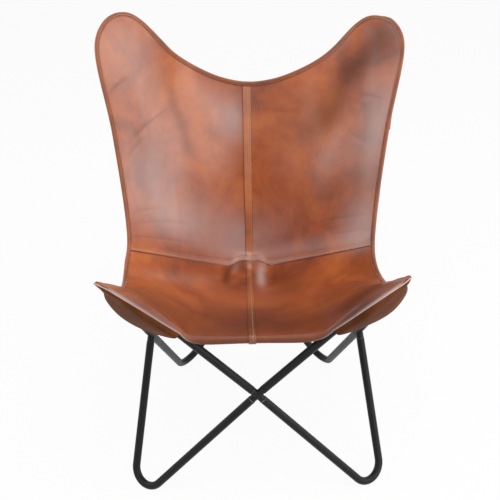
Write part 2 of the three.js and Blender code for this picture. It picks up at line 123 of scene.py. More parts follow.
room_light = 0.18
room = bpy.data.worlds.new("room")
room.use_nodes = True
tree = room.node_tree
glow = put(tree, "ShaderNodeMath", {
    0: where_looked_at(tree), 1: 1 - room_light, 2: room_light}, operation="MULTIPLY_ADD")
tree.nodes["Background"].inputs["Color"].default_value = (1, 1, 1, 1)
tree.links.new(glow.outputs[0], tree.nodes["Background"].inputs["Strength"])
scene.world = room


def soft_box(name, at, aimed_at, wide, high, watts, mirrored=True):
    lamp = bpy.data.lights.new(name, "AREA")
    lamp.shape = "RECTANGLE"
    lamp.size = wide
    lamp.size_y = high
    lamp.energy = watts
    box = bpy.data.objects.new(name, lamp)
    facing = (Vector(aimed_at) - Vector(at)).to_track_quat("-Z", "Y").to_matrix().to_4x4()
    box.matrix_world = Matrix.Translation(at) @ facing
    box.visible_camera = False
    box.visible_glossy = mirrored
    scene.collection.objects.link(box)


soft_box("right_soft_box", (1.94, -0.75, 1.20), (0, 0.05, 0.65), 3.4, 2.1, 35)
soft_box("left_rear_soft_box", (-1.65, 0.60, 1.10), (0.3, 0.15, 0.75), 0.9, 0.6, 7)
soft_box("left_front_soft_box", (-1.50, -0.80, 1.50), (0.3, 0.15, 0.75), 0.6, 0.6, 3.5)
soft_box("top_soft_box", (0.2, 0.35, 2.9), (0, 0.05, 0.4), 2.6, 2.6, 17)
soft_box("front_soft_box", (0.2, -1.1, 3.1), (0, 0.05, 0.5), 2.4, 1.4, 43, mirrored=False)

# Legs: four lengths of steel tube, each bent cold to a V, from one cross down to a foot and up to the next.
# The tube is cut square, bent round a former and powder coated black, and the bend stands on the floor.
tube_radius = 0.009
tube_wall = 0.0015
foot_bend = 0.040
foot_worn = 0.0009
rub_wide = 0.0015
rub_fade = 0.0012
cut_round = 0.0005
collar_radius = 0.0084
arm_gap = 0.0025
front_cross_at = np.array((0.0, -0.32841, 0.297))
rear_cross_at = np.array((0.0, 0.18259, 0.233))
side_cross_at = np.array((0.241, -0.12841, 0.303))
front_horn_at = np.array((0.346, -0.33441, 0.687))
back_horn_at = np.array((0.369, 0.38359, 1.043))


def unit(a):
    a = np.asarray(a, float)
    return a / np.linalg.norm(a, axis=-1, keepdims=True)


class BentLine:
    """A bent tube's middle line: s is 0 to 1 up to the bend, 1 to 2 round it and 2 to 3 after it."""

    def __init__(self, start, corner, end, radius):
        a, b = unit(start - corner), unit(end - corner)
        half = math.acos(a @ b) / 2
        self.start, self.end, self.radius = start, end, radius
        self.bend_start = corner + a * radius / math.tan(half)
        self.bend_end = corner + b * radius / math.tan(half)
        self.centre = corner + unit(a + b) * radius / math.sin(half)
        self.run_a, self.run_b = -a, -b
        normal = unit(np.cross(a, b))
        self.normal = normal if normal[2] > 0 else -normal
        self.out_a, self.out_b = unit(self.bend_start - self.centre), unit(self.bend_end - self.centre)
        self.turn = math.acos(self.out_a @ self.out_b)

    def at(self, s):
        s = np.asarray(s, float)[..., None]
        t = np.clip(s - 1, 0, 1)
        out = unit(self.out_a * np.sin((1 - t) * self.turn) + self.out_b * np.sin(t * self.turn))
        before = (self.bend_start - self.start) * (np.minimum(s, 1) - 1)
        after = (self.end - self.bend_end) * (np.maximum(s, 2) - 2)
        return self.centre + out * self.radius + before + after, out

    def beside(self, s, r, degrees):
        p, out = self.at(s)
        angle = np.radians(np.asarray(degrees, float))[..., None]
        r = np.asarray(r, float)[..., None]
        return p + out * r * np.cos(angle) + self.normal * r * np.sin(angle)


def flip(p):
    return np.asarray(p) * np.array((-1, 1, 1))


def foot_corner(x, y, cross_a, cross_b):
    z = 0.0
    for _ in range(40):
        bend, _out = BentLine(cross_a, np.array((x, y, z)), cross_b, foot_bend).at(np.linspace(1, 2, 61))
        z += tube_radius - foot_worn - bend[:, 2].min()
    return np.array((x, y, z))


front_foot_at = foot_corner(0.299, -0.33341, front_cross_at, side_cross_at)
rear_foot_at = foot_corner(0.191, 0.11559, rear_cross_at, side_cross_at)


def arms_of(centre, ends):
    arms = [unit(end - centre) for end in ends]
    tightest = min(math.acos(a @ b) for i, a in enumerate(arms) for b in arms[i + 1:])
    return arms, max((tube_radius + arm_gap / 2) / math.tan(tightest / 2), tube_radius + collar_radius)


front_arms, front_reach = arms_of(front_cross_at, [front_foot_at, flip(front_foot_at), front_horn_at,
                                                   flip(front_horn_at)])
rear_arms, rear_reach = arms_of(rear_cross_at, [rear_foot_at, flip(rear_foot_at), back_horn_at,
                                                flip(back_horn_at)])
side_arms, side_reach = arms_of(side_cross_at, [front_foot_at, rear_foot_at, front_horn_at, back_horn_at])


def mottling(tree, scale, detail, roughness=0.5, distortion=0.0):
    """An uneven pattern, from 0 to 1, that stays in its place on the piece."""
    place = put(tree, "ShaderNodeTexCoord")
    return put(tree, "ShaderNodeTexNoise", {
        "Vector": place.outputs["Object"], "Scale": scale, "Detail": detail, "Roughness": roughness,
        "Distortion": distortion}).outputs["Fac"]


def blended(tree, share, first, second):
    return put(tree, "ShaderNodeMix", {0: share, 6: first, 7: second}, data_type="RGBA").outputs[2]


black_coat, tree = new_material("black_powder_coat")
speck = mottling(tree, 1500.0, 3.0)
cloud = mottling(tree, 38.0, 5.0)
rub = put(tree, "ShaderNodeAttribute", attribute_name="rubbed")
rubbed = put(tree, "ShaderNodeMath", {0: rub.outputs["Fac"], 1: cloud}, operation="MULTIPLY")
rub_share = put(tree, "ShaderNodeMapRange", {"Value": rubbed.outputs[0], "From Min": 0.2, "From Max": 0.6})
coat_tone = blended(tree, cloud, (0.0070, 0.0075, 0.0085, 1), (0.0120, 0.0126, 0.0140, 1))
coat_colour = blended(tree, rub_share.outputs[0], coat_tone, (0.40, 0.40, 0.41, 1))
coat_gloss = put(tree, "ShaderNodeMapRange", {
    "Value": cloud, "From Min": 0.3, "From Max": 0.7, "To Min": 0.40, "To Max": 0.46})
coat_bump = put(tree, "ShaderNodeBump", {"Height": speck, "Strength": 0.12, "Distance": 0.0003})
coat = put(tree, "ShaderNodeBsdfPrincipled", {
    "Base Color": coat_colour, "Roughness": coat_gloss.outputs[0], "Normal": coat_bump.outputs[0],
    "Specular IOR Level": 0.20})
put(tree, "ShaderNodeOutputMaterial", {"Surface": coat.outputs[0]})


def new_ring(made):
    verts = [g for g in made if isinstance(g, bmesh.types.BMVert)]
    edges = {e for v in verts for e in v.link_edges if e.other_vert(v) in verts}
    return verts, list(edges)


def bent_tube(name, line, reach_a, reach_b):
    """A tube along a bent line, rubbed bare in a thin ring at each end and where it stands on the floor."""
    first, last = line.start + line.run_a * reach_a, line.end + line.run_b * reach_b
    side = np.cross(line.run_a, line.out_a)
    facing = Matrix.Translation(first) @ Matrix((line.out_a, side, line.run_a)).transposed().to_4x4()
    bm = bmesh.new()
    bmesh.ops.create_circle(bm, segments=40, radius=tube_radius, matrix=facing)
    edges, at = bm.edges[:], first
    for stop in (first + line.run_a * rub_wide, line.bend_start):
        verts, edges = new_ring(bmesh.ops.extrude_edge_only(bm, edges=edges)["geom"])
        bmesh.ops.translate(bm, verts=verts, vec=Vector(stop - at))
        at = stop
    made = bmesh.ops.spin(bm, geom=verts + edges, cent=Vector(line.centre), steps=28, angle=line.turn,
                          axis=Vector(unit(np.cross(line.out_a, line.out_b))))["geom_last"]
    verts, edges = new_ring(made)
    at = line.bend_end
    for stop in (last + line.run_b * rub_wide, last):
        verts, edges = new_ring(bmesh.ops.extrude_edge_only(bm, edges=edges)["geom"])
        bmesh.ops.translate(bm, verts=verts, vec=Vector(stop - at))
        at = stop
    bmesh.ops.remove_doubles(bm, verts=bm.verts[:], dist=1e-6)
    bmesh.ops.recalc_face_normals(bm, faces=bm.faces[:])
    bmesh.ops.solidify(bm, geom=bm.faces[:], thickness=tube_wall)
    rims = [e for e in bm.edges if len(e.link_faces) == 2 and e.calc_face_angle() > 1.2]
    bmesh.ops.bevel(bm, geom=rims, offset=cut_round, segments=3, profile=0.5, affect="EDGES", material=-1)
    for v in bm.verts:
        v.co.z = max(v.co.z, 0.0)
    rubbed_layer = bm.verts.layers.float.new("rubbed")
    for v in bm.verts:
        p = np.array(v.co)
        from_end = min(abs((p - first) @ line.run_a) if np.linalg.norm(p - first) < 0.02 else 1,
                       abs((p - last) @ line.run_b) if np.linalg.norm(p - last) < 0.02 else 1)
        v[rubbed_layer] = max(1 - from_end / rub_fade, 0) + (0.9 if v.co.z < 0.0002 else 0)
    return mesh_piece(name, bm, black_coat)


def frame_piece(piece, node):
    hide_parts(node)
    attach(piece, "root")


legs = {
    "front_right_leg": (front_cross_at, front_foot_at, side_cross_at, front_reach),
    "rear_right_leg": (rear_cross_at, rear_foot_at, side_cross_at, rear_reach),
    "front_left_leg": (front_cross_at, flip(front_foot_at), flip(side_cross_at), front_reach),
    "rear_left_leg": (rear_cross_at, flip(rear_foot_at), flip(side_cross_at), rear_reach),
}
for node, (start, corner, end, reach) in legs.items():
    frame_piece(bent_tube(node + "_tube", BentLine(start, corner, end, foot_bend), reach, side_reach), node)

# Horns: four more bent lengths of the same tube, from one cross up to a rounded tip and down to the next.
# The leather hangs on the tips, and the ends push over the spigots of the crosses.
front_bend = 0.072
back_bend = 0.053
front_horn = BentLine(front_cross_at, front_horn_at, side_cross_at, front_bend)
back_horn = BentLine(rear_cross_at, back_horn_at, side_cross_at, back_bend)
left_front_horn = BentLine(front_cross_at, flip(front_horn_at), flip(side_cross_at), front_bend)
left_back_horn = BentLine(rear_cross_at, flip(back_horn_at), flip(side_cross_at), back_bend)
horns = {
    "front_right_horn": (front_horn, front_reach),
    "rear_right_horn": (back_horn, rear_reach),
    "front_left_horn": (left_front_horn, front_reach),
    "rear_left_horn": (left_back_horn, rear_reach),
}
for node, (line, reach) in horns.items():
    frame_piece(bent_tube(node + "_tube", line, reach, side_reach), node)

# Crosses: four cast joints, each with four collars that run on as spigots inside the tubes.
# The collars blend into one another with small fillets, and are coated like the tubes.
spigot_radius = 0.0068
spigot_length = 0.026
fit_gap = 0.0003


def cross_joint(name, centre, arms, reach):
    bm = bmesh.new()
    bmesh.ops.create_uvsphere(bm, u_segments=32, v_segments=16, radius=collar_radius,
                              matrix=Matrix.Translation(centre))
    for arm in arms:
        facing = Vector(arm).to_track_quat("Z", "X").to_matrix().to_4x4()
        for radius, length in ((collar_radius, reach - fit_gap), (spigot_radius, reach + spigot_length)):
            bmesh.ops.create_cone(
                bm, cap_ends=True, segments=32, radius1=radius, radius2=radius, depth=length,
                matrix=Matrix.Translation(centre + arm * length / 2) @ facing)
    rough = mesh_piece(name + "_rough", bm)
    remesh = rough.modifiers.new("cast", "REMESH")
    remesh.mode = "VOXEL"
    remesh.voxel_size = 0.0008
    fillets = rough.modifiers.new("fillets", "SMOOTH")
    fillets.factor = 0.5
    fillets.iterations = 7
    cast = bpy.data.meshes.new_from_object(rough.evaluated_get(bpy.context.evaluated_depsgraph_get()))
    bpy.data.objects.remove(rough)
    bm = bmesh.new()
    bm.from_mesh(cast)
    bpy.data.meshes.remove(cast)
    return mesh_piece(name, bm, black_coat)


crosses = {
    "front_cross": (front_cross_at, front_arms, front_reach),
    "rear_cross": (rear_cross_at, rear_arms, rear_reach),
    "right_cross": (side_cross_at, side_arms, side_reach),
    "left_cross": (flip(side_cross_at), [flip(arm) for arm in side_arms], side_reach),
}
for node, (centre, arms, reach) in crosses.items():
    frame_piece(cross_joint(node + "_joint", centre, arms, reach), node)

# Seat leather: two halves of thick burnished hide, sewn edge to edge down the middle.
# It hangs from the front edge to the seam above the rear cross, which presses it up from below.
leather_thick = 0.0026
roll_radius = 0.0122
tip_reach = 0.024
front_edge_drop = 0.022
front_edge_leaves = 0.8
front_tip = 1.7
seam_at = 0.527
cross_bump = 0.024
bump_wide = 0.042
bump_ahead, bump_behind = 0.115, 0.034
knee_round = 0.1
roll_hanging = 0.0075
slid_left = 0.009
left_tip_out = 0.011
left_ear_up = 0.008
right_ear_down = 0.011


def mixed(a, b, t):
    return a + (b - a) * t


def running(points):
    return np.concatenate([[0], np.cumsum(np.linalg.norm(np.diff(points, axis=0), axis=1))])


def on_line(points, run, length):
    return np.stack([np.interp(length, run, points[:, k]) for k in range(3)], -1)


def curve_part(p0, p1, p2, p3, t):
    """A point of the smooth curve through p1 and p2, on its way from p0 and to p3."""
    step = [np.maximum(np.linalg.norm(b - a, axis=-1, keepdims=True), 1e-9) ** 0.5
            for a, b in ((p0, p1), (p1, p2), (p2, p3))]
    lead = ((p1 - p0) / step[0] - (p2 - p0) / (step[0] + step[1]) + (p2 - p1) / step[1]) * step[1]
    tail = ((p2 - p1) / step[1] - (p3 - p1) / (step[1] + step[2]) + (p3 - p2) / step[2]) * step[1]
    return (p1 + lead * t + (-3 * p1 + 3 * p2 - 2 * lead - tail) * t ** 2
            + (2 * p1 - 2 * p2 + lead + tail) * t ** 3)


def smooth_curve(stops, share, before=None, after=None):
    """A smooth curve through stops, each a point or a row of points, at shares of its count of parts."""
    stops = [2 * stops[0] - stops[1] if before is None else before, *stops,
             2 * stops[-1] - stops[-2] if after is None else after]
    parts = len(stops) - 3
    at = np.clip(np.asarray(share, float), 0, 1) * parts
    found = []
    for k in at:
        i = min(int(k), parts - 1)
        found.append(curve_part(*stops[i:i + 4], k - i))
    return np.array(found)


leave_at, leave_out = front_horn.at(front_edge_leaves)
hang = np.linspace(0, 0.98, 97)[:, None]
hang_rise = front_horn.run_a[2] / front_horn.run_a[0] * leave_at[0] / front_edge_drop
hang_line = np.hstack([leave_at[0] * hang, leave_at[1] + 0 * hang,
                       leave_at[2] - front_edge_drop * (1 - hang ** hang_rise)])
horn_line, horn_out = front_horn.at(np.linspace(front_edge_leaves, front_tip, 161))
edge_line = np.vstack([hang_line, horn_line])
edge_out = np.vstack([unit(mixed(np.array((0, -1.0, 0)), leave_out, hang ** 2)), horn_out])
edge_up = np.vstack([unit(mixed(np.array((0, 0, 1.0)), front_horn.normal, hang ** 2)),
                     np.tile(front_horn.normal, (161, 1))])
edge_run = running(edge_line)
leave_share = edge_run[97] / edge_run[-1]


def beside_edge(u, r, degrees):
    want = np.clip(u, 0, 1) * edge_run[-1]
    angle = np.radians(degrees)[..., None]
    r = np.asarray(r, float)[..., None]
    return (on_line(edge_line, edge_run, want) + on_line(edge_out, edge_run, want) * r * np.cos(angle)
            + on_line(edge_up, edge_run, want) * r * np.sin(angle))


def to_tip(u):
    return np.maximum((np.clip(u, 0, 1) - leave_share) / (1 - leave_share), 0)


def roll_at(u):
    """The front edge turns down in a small roll where it hangs free, and round the tube at the sides."""
    return mixed(roll_hanging, roll_radius, np.clip(u / leave_share, 0, 1) ** 2)


def ridge(u):
    return (roll_at(u) - 0.001 + tip_reach * to_tip(u) ** 16,
            mixed(112, 82, np.clip(u, 0, 1) ** 1.5) - 90 * to_tip(u) ** 4)


def brim(u):
    return (roll_at(u) + tip_reach * to_tip(u) ** 2,
            mixed(-55, -11, np.clip(u / leave_share, 0, 1) ** 2) - 28 * np.sin(np.pi * to_tip(u)))


def front_line(u):
    return beside_edge(u, *ridge(u))


back_tip = back_horn.beside(1.5, 0.022, 38)
top_sags = 0.166
top_middle = np.array((0, back_tip[1] - 0.015, back_tip[2] - top_sags))


def top_dip(f):
    return np.array((back_tip[0] * f, mixed(top_middle[1], back_tip[1], f * f),
                     top_middle[2] + top_sags * 1.22 * f ** 1.85))


top_half = [top_dip(0.2), top_dip(0.4), top_dip(0.58), back_horn.beside(1.12, 0.034, 48),
            back_horn.beside(1.3, 0.028, 42), back_tip]
past_top = back_horn.beside(1.75, 0.029, 36)
top_points = smooth_curve([flip(p) for p in reversed(top_half)] + [top_middle] + top_half,
                          np.linspace(0, 1, 1201), flip(past_top), past_top)
top_run = running(top_points)


def top_line(u):
    return on_line(top_points, top_run, (np.clip(u, -1, 1) + 1) / 2 * top_run[-1])


knee_middle = rear_cross_at + np.array((0, -0.022, 0.018))
knee_side = side_cross_at + np.array((0.039, 0.049, 0.178))


def knee_line(u):
    rise = (np.hypot(u, knee_round) - knee_round) / (np.hypot(1, knee_round) - knee_round)
    return np.stack([knee_side[0] * u, mixed(knee_middle[1], knee_side[1], rise),
                     mixed(knee_middle[2], knee_side[2], rise)], -1)


def ramp(t, soft):
    low = np.hypot(0.5, soft) - 0.5
    return (np.hypot(t - 0.5, soft) + t - 0.5 - low) / (np.hypot(0.5, soft) + 0.5 - low)


def slope(u, v):
    """A fore-and-aft section of the sling: front edge to knee to top edge, with a soft turn at the knee."""
    a, b = front_line(u), top_line(u)
    soft = mixed(0.045, 0.1, u * u)
    share = ramp(0.5, soft)[..., None]
    corner = (knee_line(u) - share * a - share * b) / (1 - 2 * share)
    return corner + (a - corner) * ramp(1 - v, soft)[..., None] + (b - corner) * ramp(v, soft)[..., None]


tip_side = front_horn.beside(2.05, 0.017, 65)
side_stops = [
    front_line(np.array(1.0)), front_horn.beside(1.82, 0.020, 4), front_horn.beside(1.93, 0.017, 34),
    tip_side, knee_side, back_horn.beside(2.6, 0.033, 24), back_horn.beside(2.3, 0.033, 26),
    back_horn.beside(2.0, 0.037, 17), past_top, back_tip]
side_points = smooth_curve(side_stops, np.linspace(0, 1, 1201), after=top_half[-2])
side_run = running(side_points)
rim_steps = np.linspace(0, 1, 201)
rim_run = running(slope(np.ones(201), rim_steps))


def side_line(v):
    share = np.interp(np.clip(v, 0, 1), rim_steps, rim_run) / rim_run[-1]
    return on_line(side_points, side_run, share * side_run[-1])


def settled(u, v):
    """How far the sling has slid to its left on the horns, and its left ear up and its right one down."""
    a = np.abs(u)
    free = np.clip(1 - (a / np.where(v < 0.5, leave_share, 0.62)) ** 2, 0, 1)
    at_knee = np.where((u < 0) & (v > 0.48), np.exp(-((v - 0.48) / 0.06) ** 2),
                       np.sin(np.pi * np.clip(v, 0, 1)) ** 3)
    at_left_tip = np.where(u < 0, np.clip((a - 0.9) / 0.1, 0, 1) ** 2 * np.clip(1 - v / 0.1, 0, 1) ** 2, 0)
    at_top = np.clip((v - 0.62) / 0.38, 0, 1) ** 5 * np.where(u < 0, left_ear_up, right_ear_down)
    slid = slid_left * mixed(free, 1, at_knee) + left_tip_out * at_left_tip
    return np.stack([-slid, 0 * slid, -np.tanh(u / 0.4) * at_top], -1)


def sling(u, v):
    """The middle of the leather: u is -1 to 1 from side to side, v 0 at the front edge and 1 at the top."""
    u, v = np.broadcast_arrays(np.asarray(u, float), np.asarray(v, float))
    a = np.minimum(np.abs(u), 1)
    p = slope(a, v) + (side_line(v) - slope(np.ones_like(a), v)) * (a ** 5)[..., None]
    reach = np.where(v < seam_at, bump_ahead, bump_behind)
    bump = cross_bump * np.exp(-np.abs(p[..., 0] / bump_wide) ** 4 - np.abs((v - seam_at) / reach) ** 2.6)
    p = p + bump[..., None] * np.array((0, -0.1, 1.0))
    return np.where((u < 0)[..., None], flip(p), p) + settled(u, v)


def facing_sitter(u, v):
    e = 1e-3
    u = np.clip(u, -1 + 2 * e, 1 - 2 * e)
    v = np.clip(v, 2 * e, 1 - 2 * e)
    return unit(np.cross(sling(u + e, v) - sling(u - e, v), sling(u, v + e) - sling(u, v - e)))


def width_step(u, v, metres):
    return 0.01 * metres / np.linalg.norm(sling(u, v) - sling(u - 0.01, v))


def length_step(u, v, metres):
    return 0.005 * metres / np.linalg.norm(sling(u, v) - sling(u, v - 0.005))


seam_step = length_step(0.5, 0.7, 0.0003)
middle_step = width_step(0.5, 0.6, 0.0003)
# Near black, mixed in by the stain_and_shade attribute: partly wax and dye stains, partly painted shade.
stain_and_shade_colour = (0.075, 0.015, 0.005, 1)
# Pale grey, mixed in by the painted_sheen attribute: a painted reflection and painted highlights on the
# leather.
painted_sheen_colour = (0.66, 0.54, 0.52, 1)


def leather_finish(name, deep, middle, light, shine_range, glint, coat):
    """Dyed hide: cloudy colour, darker with wax stains and painted shade, paler with painted sheen, with
    pores and fine wrinkles.
    """
    material, tree = new_material(name)
    dye = mottling(tree, 6.5, 4.0, 0.55, 0.6)
    mottle = mottling(tree, 34.0, 7.0, 0.62)
    dye_mix = put(tree, "ShaderNodeMath", {0: mottle, 1: 0.34, 2: dye}, operation="MULTIPLY_ADD")
    tan = put(tree, "ShaderNodeValToRGB", {"Fac": dye_mix.outputs[0]})
    tan.color_ramp.elements[0].position = 0.42
    tan.color_ramp.elements[0].color = (*deep, 1)
    tan.color_ramp.elements[1].position = 0.90
    tan.color_ramp.elements[1].color = (*light, 1)
    tan.color_ramp.elements.new(0.64).color = (*middle, 1)
    # Stains and painted shade: near black is mixed in by this attribute.
    stain_and_shade = put(tree, "ShaderNodeAttribute", attribute_name="stain_and_shade")
    stain_and_shade_share = put(tree, "ShaderNodeMath", {
        0: stain_and_shade.outputs["Fac"], 1: 0.9}, operation="MULTIPLY", use_clamp=True)
    stained_and_shaded = blended(tree, stain_and_shade_share.outputs[0], tan.outputs[0], stain_and_shade_colour)
    # Painted sheen: pale grey is mixed in where reflections and highlights fall.
    painted_sheen = put(tree, "ShaderNodeAttribute", attribute_name="painted_sheen")
    hide_colour = blended(tree, painted_sheen.outputs["Fac"], stained_and_shaded, painted_sheen_colour)
    place = put(tree, "ShaderNodeTexCoord")
    pores = put(tree, "ShaderNodeTexVoronoi", {
        "Vector": place.outputs["Object"], "Scale": 820.0, "Randomness": 1.0})
    wrinkle = mottling(tree, 120.0, 6.0, 0.6, 1.2)
    grain_bump = put(tree, "ShaderNodeBump", {
        "Height": pores.outputs["Distance"], "Strength": 0.10, "Distance": 0.0004})
    hide_bump = put(tree, "ShaderNodeBump", {
        "Height": wrinkle, "Strength": 0.16, "Distance": 0.0012, "Normal": grain_bump.outputs[0]})
    shine = put(tree, "ShaderNodeMapRange", {
        "Value": mottle, "From Min": 0.3, "From Max": 0.7, "To Min": shine_range[0],
        "To Max": shine_range[1]})
    wax = coat
    if coat:
        wax = put(tree, "ShaderNodeMath", {
            0: stain_and_shade_share.outputs[0], 1: -coat, 2: coat}, operation="MULTIPLY_ADD").outputs[0]
    hide = put(tree, "ShaderNodeBsdfPrincipled", {
        "Base Color": hide_colour, "Roughness": shine.outputs[0], "Normal": hide_bump.outputs[0],
        "Specular IOR Level": glint, "Coat Weight": wax, "Coat Roughness": 0.32, "Coat IOR": 1.7})
    put(tree, "ShaderNodeOutputMaterial", {"Surface": hide.outputs[0]})
    return material


burnished = leather_finish("burnished_tan_leather", (0.150, 0.028, 0.005), (0.360, 0.076, 0.012),
                           (0.560, 0.150, 0.030), (0.40, 0.52), 0.35, 0.65)

suede, tree = new_material("suede_reverse")
nap = mottling(tree, 420.0, 6.0)
drift = mottling(tree, 9.0, 4.0)
nap_mix = put(tree, "ShaderNodeMath", {0: nap, 1: 0.5, 2: drift}, operation="MULTIPLY_ADD")
suede_tone = put(tree, "ShaderNodeValToRGB", {"Fac": nap_mix.outputs[0]})
suede_tone.color_ramp.elements[0].position = 0.45
suede_tone.color_ramp.elements[0].color = (0.16, 0.066, 0.030, 1)
suede_tone.color_ramp.elements[1].position = 1.0
suede_tone.color_ramp.elements[1].color = (0.34, 0.165, 0.085, 1)
nap_bump = put(tree, "ShaderNodeBump", {"Height": nap, "Strength": 0.35, "Distance": 0.0006})
reverse = put(tree, "ShaderNodeBsdfPrincipled", {
    "Base Color": suede_tone.outputs[0], "Roughness": 0.86, "Normal": nap_bump.outputs[0],
    "Specular IOR Level": 0.25, "Sheen Weight": 0.25, "Sheen Roughness": 0.5})
put(tree, "ShaderNodeOutputMaterial", {"Surface": reverse.outputs[0]})


def leather_sheet(name, across, along, lay, thick, stain_and_shade_of=None, painted_sheen_of=None, edge_round=0.0009,
                  finish=burnished):
    """A sheet of leather from a flat grid: lay gives the places of its points from shares of both ways."""
    bm = bmesh.new()
    bmesh.ops.create_grid(bm, x_segments=across, y_segments=along, size=1)
    shares = (np.array([v.co[:2] for v in bm.verts]) + 1) / 2
    places = lay(shares[:, 0], shares[:, 1])
    stains_and_shade = stain_and_shade_of(shares[:, 0], shares[:, 1]) if stain_and_shade_of else np.zeros(len(shares))
    painted_sheen_values = painted_sheen_of(shares[:, 0], shares[:, 1]) if painted_sheen_of else np.zeros(len(shares))
    stain_and_shade_layer = bm.verts.layers.float.new("stain_and_shade")
    painted_sheen_layer = bm.verts.layers.float.new("painted_sheen")
    for v, p, s, w in zip(bm.verts, places, stains_and_shade, painted_sheen_values):
        v.co = p
        v[stain_and_shade_layer] = s
        v[painted_sheen_layer] = w
    piece = mesh_piece(name, bm, finish, suede)
    body = piece.modifiers.new("thickness", "SOLIDIFY")
    body.thickness = thick
    body.offset = 0.0
    body.material_offset = 1
    body.material_offset_rim = 0
    edges = piece.modifiers.new("soft_edges", "BEVEL")
    edges.width = edge_round
    edges.segments = 2
    edges.limit_method = "ANGLE"
    edges.angle_limit = math.radians(50)
    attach(piece, "root")
    return piece


broad_crumple, fine_crumple = 0.0011, 0.0004


def crumple(points):
    """Slow unevenness of the hide, as a height, the same on each run."""
    apart = Vector((7, 3, 1))
    return np.array([broad_crumple * noise.noise(Vector(p) * 9)
                     + fine_crumple * noise.noise(Vector(p) * 23 + apart) for p in points])


def within(u, v):
    """Fades to 0 at the edges and seams, where sewing holds the hide flat."""
    a = np.abs(u)
    return (np.clip((1 - a) / 0.14, 0, 1) * np.clip((a - 0.03) / 0.08, 0, 1) * np.clip((1 - v) / 0.08, 0, 1)
            * np.clip(v / 0.10, 0, 1) * np.clip(np.abs(v - seam_at) / 0.05, 0, 1))


hide_scale = np.array((0.33, 1.15))
crease_bow = 0.002
crease_mark_wide = 0.0024
# Creases in the hides: each has its start and end, as places across and along, and its depth and width.
crease_lines = (
    ((-0.98, 0.830), (-0.86, 0.875), 0.0010, 0.0040), ((-0.93, 0.740), (-0.60, 0.868), 0.0011, 0.0045),
    ((-0.95, 0.712), (-0.81, 0.772), 0.0008, 0.0040), ((-0.99, 0.590), (-0.50, 0.622), 0.0013, 0.0055),
    ((-1.00, 0.563), (-0.52, 0.574), 0.0014, 0.0055), ((-0.97, 0.612), (-0.70, 0.640), 0.0009, 0.0050),
    ((0.98, 0.600), (0.58, 0.618), 0.0011, 0.0055), ((1.00, 0.568), (0.66, 0.580), 0.0012, 0.0055),
    ((0.97, 0.815), (0.80, 0.850), 0.0010, 0.0055), ((0.90, 0.740), (0.74, 0.790), 0.0009, 0.0060),
    ((0.76, 0.300), (0.97, 0.230), 0.0016, 0.0060), ((0.72, 0.140), (0.90, 0.235), 0.0014, 0.0060),
    ((-0.78, 0.300), (-0.96, 0.235), 0.0014, 0.0060), ((-0.70, 0.150), (-0.88, 0.250), 0.0013, 0.0060),
)


def each_crease(u, v):
    """For each crease: how near its middle a place lies, how far beside it, and how deep and wide it is."""
    spot = np.stack([u, v], -1) * hide_scale
    for start, end, deep, wide in crease_lines:
        a, b = np.array(start) * hide_scale, np.array(end) * hide_scale
        way = (b - a) / np.linalg.norm(b - a)
        along = (spot - a) @ way / np.linalg.norm(b - a)
        beside = (spot - a) @ np.array((-way[1], way[0])) - crease_bow * np.sin(np.pi * along)
        yield np.sin(np.pi * np.clip(along, 0, 1)) ** 0.6, beside, deep, wide


def creases(u, v):
    """Drawn-in lines with a soft swelling beside them, as a height."""
    return sum(0.6 * deep * fade * (0.7 * np.exp(-((beside - 1.9 * wide) / (1.5 * wide)) ** 2)
                                    - np.exp(-(beside / wide) ** 2))
               for fade, beside, deep, wide in each_crease(u, v))


def crease_painted_shade(u, v):
    """A thin line of painted shade along each crease."""
    return sum(0.4 * fade * np.exp(-(beside / crease_mark_wide) ** 2)
               for fade, beside, _deep, _wide in each_crease(u, v))


def hide_at(u, v):
    p, n = sling(u, v), facing_sitter(u, v)
    off_edge = np.clip((1 - np.abs(u)) / 0.05, 0, 1)
    return p + n * (crumple(p) * within(u, v) + creases(u, v) * off_edge)[:, None]


hem_wide = 0.008
hem_step = width_step(1, 0.75, hem_wide)
top_hem_step = length_step(0.4, 1, hem_wide)
strip_half = 0.010
middle_v = np.linspace(0, 1, 101)
strip_table = strip_half * 0.06 / np.linalg.norm(sling(0.03, middle_v) - sling(-0.03, middle_v), axis=-1)


def strip_edge(v):
    """How far, as a share of the half width, the centre strips reach to each side."""
    return np.interp(v, middle_v, strip_table)


# Soft spots on the hides, darker with wax stains and painted shade in the first table and paler with painted
# sheen in the second: each has its place across and along, its width and length, and how strong it is.
stain_and_shade_spots = (
    (0.9, 0.94, 0.11, 0.04, 0.72), (0.78, 0.905, 0.12, 0.036, 0.55), (0.67, 0.93, 0.1, 0.05, 0.56),
    (0.6, 0.85, 0.16, 0.042, 0.62), (0.4, 0.87, 0.2, 0.06, 0.2), (0.2, 0.83, 0.14, 0.06, 0.12),
    (0.6, 0.67, 0.24, 0.03, 0.28), (-0.55, 0.888, 0.06, 0.03, 0.35), (-0.5, 0.845, 0.06, 0.03, 0.38),
    (-0.47, 0.805, 0.06, 0.028, 0.38), (-0.26, 0.865, 0.1, 0.03, 0.2), (-0.38, 0.695, 0.1, 0.018, 0.22),
    (-0.8, 0.91, 0.26, 0.09, 0.24), (-0.215, 0.475, 0.042, 0.048, 0.75), (-0.165, 0.515, 0.05, 0.022, 0.55),
    (-0.07, 0.505, 0.07, 0.03, 0.35), (0.22, 0.475, 0.04, 0.04, 0.35), (0.32, 0.42, 0.18, 0.11, 0.58),
    (0.84, 0.4, 0.1, 0.06, 0.22), (0.04, 0.09, 0.7, 0.15, 0.9), (-0.92, 0.12, 0.2, 0.14, 0.6),
    (0.92, 0.12, 0.2, 0.14, 0.75), (-0.68, 0.03, 0.2, 0.06, 0.4), (0.68, 0.03, 0.2, 0.06, 0.6),
)
